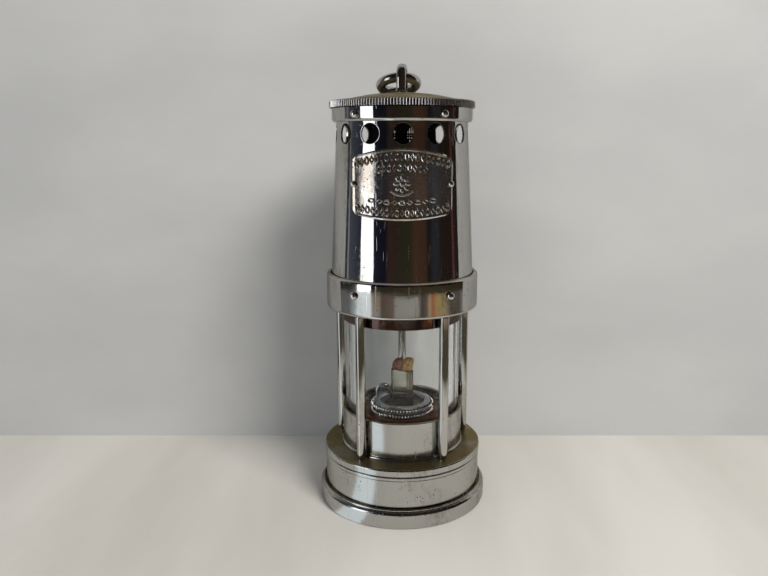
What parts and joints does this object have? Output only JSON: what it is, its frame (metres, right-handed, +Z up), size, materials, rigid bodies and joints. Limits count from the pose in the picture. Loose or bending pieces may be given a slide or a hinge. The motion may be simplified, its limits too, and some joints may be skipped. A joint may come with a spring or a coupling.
{
  "type": "miner's safety lamp",
  "caption": "Flame safety lamp: round oil vessel, glass in a cup inside a ring of pillars, vented bonnet over gauzes, milled lid with swivel eye and carrying ring.",
  "frame": {"origin": "centre of the base, on the surface that the lamp stands on", "axes": "+Z up along the lamp's axis, -Y towards the front, where the badge is"},
  "size_m": [0.09, 0.09, 0.2283],
  "materials": {
    "satin_steel": "satin nickelled steel, stained",
    "bright_plate": "bright plated, polished",
    "dark_steel": "dark polished steel",
    "old_brass": "dark, oiled",
    "red_fibre": "oil-dark fibre",
    "clear_glass": "clear, polished",
    "cotton": "cotton wick, oily",
    "tarnished_tube": "tarnished",
    "gauze_wire": "woven iron wire, sooted"
  },
  "bodies": {
    "vessel": {"foot_ring": "satin_steel", "oil_vessel": "satin_steel", "base_plate": "satin_steel", "vessel_neck": "old_brass", "tank_wadding": "cotton", "burner_plate": "tarnished_tube", "burner_nut": "old_brass", "wick_tube": "tarnished_tube", "wick": "cotton", "pricker_tube": "tarnished_tube"},
    "pricker_sleeve": {"pricker_packing": "red_fibre"},
    "pricker": {"pricker_wire": "dark_steel", "pricker_knob": "old_brass"},
    "washer": {"seal_washer": "red_fibre"},
    "cage": {"cage_base_ring": "satin_steel", "glass_cup": "satin_steel", "glass_clamp_ring": "old_brass", "lower_gasket": "red_fibre", "glass": "clear_glass", "upper_gasket": "red_fibre", "pillar_1": "bright_plate", "pillar_2": "bright_plate", "pillar_3": "bright_plate", "pillar_4": "bright_plate", "pillar_5": "bright_plate", "mid_ring": "bright_plate", "mid_ring_rivets": "bright_plate", "gauze_seat": "bright_plate", "inner_gauze": "gauze_wire", "outer_gauze": "gauze_wire", "gauze_clamp": "dark_steel", "bonnet": "bright_plate", "badge": "bright_plate", "badge_rivets": "bright_plate", "bonnet_collar": "bright_plate", "collar_rivets": "bright_plate", "lid": "bright_plate"},
    "eye": {"swivel_eye": "dark_steel", "eye_washer": "dark_steel", "eye_nut": "dark_steel"},
    "hang_ring": {"carrying_ring": "dark_steel"}
  },
  "joints": [
    {"name": "cage_lift", "type": "slide", "parent": "vessel", "child": "washer", "axis": [0, 0, 1], "range_m": [0, 0.008]},
    {"name": "cage_turn", "type": "hinge", "parent": "washer", "child": "cage", "pos_m": [0, 0, 0.0285], "axis": [0, 0, 1], "range_deg": [0, 1440]},
    {"name": "eye_swivel", "type": "hinge", "parent": "cage", "child": "eye", "pos_m": [0, 0, 0.2135], "axis": [0, 0, 1], "continuous": true},
    {"name": "ring_swing", "type": "hinge", "parent": "eye", "child": "hang_ring", "pos_m": [0, 0, 0.2219], "axis": [0.9781, 0.2079, 0], "range_deg": [0, 218]},
    {"name": "pricker_turn", "type": "hinge", "parent": "vessel", "child": "pricker_sleeve", "pos_m": [-0.0072, 0.0005, 0.0175], "axis": [0, 0, 1], "range_deg": [-100, 100]},
    {"name": "pricker_lift", "type": "slide", "parent": "pricker_sleeve", "child": "pricker", "axis": [0, 0, 1], "range_m": [0, 0.009]}
  ],
  "couplings": [
    {"joint": "cage_lift", "follows": "cage_turn", "m_per_rad": 0.000318}
  ]
}
